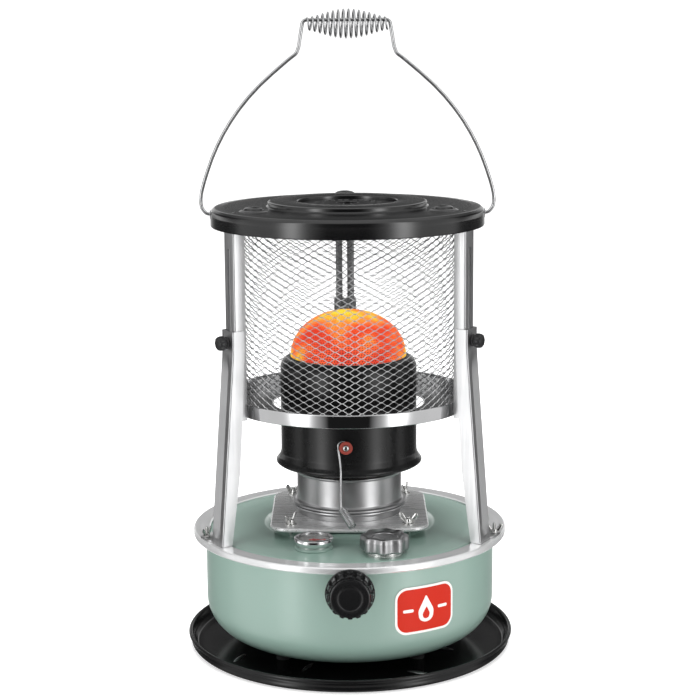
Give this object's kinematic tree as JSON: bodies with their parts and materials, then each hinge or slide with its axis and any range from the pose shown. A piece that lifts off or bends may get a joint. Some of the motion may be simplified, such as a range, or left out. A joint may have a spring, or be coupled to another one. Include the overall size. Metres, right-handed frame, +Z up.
{
  "type": "kerosene heater",
  "caption": "Portable round wick kerosene heater: enamelled tank on a drip tray, drum burner with glowing dome, slide-up mesh guard with cap, wire bail with coil grip.",
  "frame": {"origin": "on the heater's vertical axis at the underside of the drip tray", "axes": "+Z up along the burner axis, -Y towards the knob, filler and gauge side, +X to the right seen from the knob side"},
  "size_m": [0.33, 0.343, 0.6354],
  "materials": {
    "enamel_green": "gloss",
    "enamel_black": "gloss",
    "drum_black": "satin heat-resistant",
    "chrome": "polished",
    "bright_steel": "bright pressed",
    "brushed_steel": "brushed",
    "aluminium": "satin extruded",
    "zinc_steel": "zinc plated",
    "galvanised_mesh": "expanded and galvanised",
    "glow_metal": "glowing hot, emissive",
    "flame_steel": "heat tinted",
    "knob_black": "moulded gloss",
    "screw_black": "moulded",
    "cap_grey": "cast satin",
    "dial_white": "printed",
    "pointer_red": "gloss",
    "lens": "clear",
    "badge_red": "gloss film",
    "washer_red": "vulcanised fibre",
    "wick_cotton": "woven",
    "cork": "cork",
    "gasket": "moulded",
    "brass": "machined"
  },
  "bodies": {
    "base": {"base_tray": "enamel_black", "tank_feet": "zinc_steel", "tank_bowl": "enamel_green", "tank_wall": "enamel_green", "tank_cover": "enamel_green", "rim_band": "chrome", "badge": "badge_red", "filler_neck": "zinc_steel", "filler_strainer": "brushed_steel", "gauge_body": "zinc_steel", "gauge_bezel": "chrome", "gauge_dial": "dial_white", "gauge_lens": "lens", "wick_tube_inner": "zinc_steel", "wick_tube_outer": "zinc_steel", "shaft_tunnel": "zinc_steel", "shaft_gland": "brass", "adjuster_plate": "bright_steel", "adjuster_gasket": "gasket", "plate_studs": "zinc_steel", "wing_nuts": "zinc_steel", "adjuster_collar": "brushed_steel", "leg_left": "aluminium", "leg_right": "aluminium", "leg_rear": "aluminium", "foot_studs": "zinc_steel", "foot_nuts": "zinc_steel"},
    "cap_seal": {"filler_seal": "gasket"},
    "filler_cap": {"filler_cap": "cap_grey"},
    "gauge_float": {"gauge_float": "cork"},
    "gauge_pointer": {"gauge_pointer": "pointer_red"},
    "wick_carriage": {"wick": "wick_cotton", "wick_holder": "zinc_steel"},
    "knob_shaft": {"wick_shaft": "zinc_steel", "pinion": "brass", "knob": "knob_black"},
    "burner_collar": {"burner_collar": "brushed_steel"},
    "burner": {"burner_case": "drum_black", "glow_dome": "glow_metal", "inner_flame_tube": "flame_steel", "outer_flame_tube": "flame_steel", "flame_spreader": "flame_steel", "handle_screw": "zinc_steel", "handle_washer": "washer_red"},
    "burner_handle": {"burner_handle": "zinc_steel", "handle_grip": "zinc_steel"},
    "thumbscrew_left": {"thumbscrew_left": "screw_black"},
    "thumbscrew_right": {"thumbscrew_right": "screw_black"},
    "thumbscrew_rear": {"thumbscrew_rear": "screw_black"},
    "upper_frame": {"post_left": "aluminium", "post_right": "aluminium", "post_rear": "aluminium", "guard_ring": "chrome", "reflector_plate": "chrome", "guard_mesh": "galvanised_mesh", "cap": "enamel_black", "heat_shield": "zinc_steel", "cap_screws": "enamel_black"},
    "bail": {"bail": "chrome"},
    "grip": {"grip_spring": "chrome"}
  },
  "joints": [
    {"name": "frame_slide", "type": "slide", "parent": "base", "child": "upper_frame", "axis": [0, 0, 1], "range_m": [-0.084, 0]},
    {"name": "bail_swing", "type": "hinge", "parent": "upper_frame", "child": "bail", "pos_m": [0, 0, 0.4365], "axis": [1, 0, 0], "range_deg": [-105, 105]},
    {"name": "grip_spin", "type": "hinge", "parent": "bail", "child": "grip", "pos_m": [0.0008, 0, 0.621], "axis": [1, 0, 0], "continuous": true},
    {"name": "knob_turn", "type": "hinge", "parent": "base", "child": "knob_shaft", "pos_m": [0, -0.16, 0.0983], "axis": [0, -1, 0], "range_deg": [0, 238]},
    {"name": "wick_slide", "type": "slide", "parent": "base", "child": "wick_carriage", "axis": [0, 0, 1], "range_m": [-0.025, 0]},
    {"name": "burner_turn", "type": "hinge", "parent": "base", "child": "burner_collar", "pos_m": [0, 0, 0.14], "axis": [0, 0, 1], "range_deg": [0, 20]},
    {"name": "burner_lift", "type": "slide", "parent": "burner_collar", "child": "burner", "axis": [0, 0, 1], "range_m": [0, 0.02]},
    {"name": "handle_swing", "type": "hinge", "parent": "burner", "child": "burner_handle", "pos_m": [-0.003, -0.07, 0.216], "axis": [0, 1, 0], "range_deg": [0, 50]},
    {"name": "filler_lift", "type": "slide", "parent": "base", "child": "cap_seal", "axis": [0, 0, 1], "range_m": [0, 0.04]},
    {"name": "filler_turn", "type": "hinge", "parent": "cap_seal", "child": "filler_cap", "pos_m": [0.0334, -0.109, 0.13], "axis": [0, 0, 1], "continuous": true},
    {"name": "float_swing", "type": "hinge", "parent": "base", "child": "gauge_float", "pos_m": [-0.0347, -0.095, 0.1], "axis": [0, 1, 0], "range_deg": [0, 45]},
    {"name": "pointer_swing", "type": "hinge", "parent": "base", "child": "gauge_pointer", "pos_m": [-0.0347, -0.095, 0.1284], "axis": [0, 0, 1], "range_deg": [-90, 0]},
    {"name": "thumbscrew_left_turn", "type": "hinge", "parent": "base", "child": "thumbscrew_left", "pos_m": [-0.11438, -0.06982, 0.3205], "axis": [-0.8536, -0.521, 0], "range_deg": [0, 720]},
    {"name": "thumbscrew_right_turn", "type": "hinge", "parent": "base", "child": "thumbscrew_right", "pos_m": [0.11765, -0.06414, 0.3205], "axis": [0.878, -0.4787, 0], "range_deg": [0, 720]},
    {"name": "thumbscrew_rear_turn", "type": "hinge", "parent": "base", "child": "thumbscrew_rear", "pos_m": [-0.00327, 0.13396, 0.3205], "axis": [-0.0244, 0.9997, 0], "range_deg": [0, 720]}
  ],
  "couplings": [
    {"joint": "wick_slide", "follows": "knob_turn", "m_per_rad": -0.006},
    {"joint": "pointer_swing", "follows": "float_swing", "ratio": -2}
  ]
}
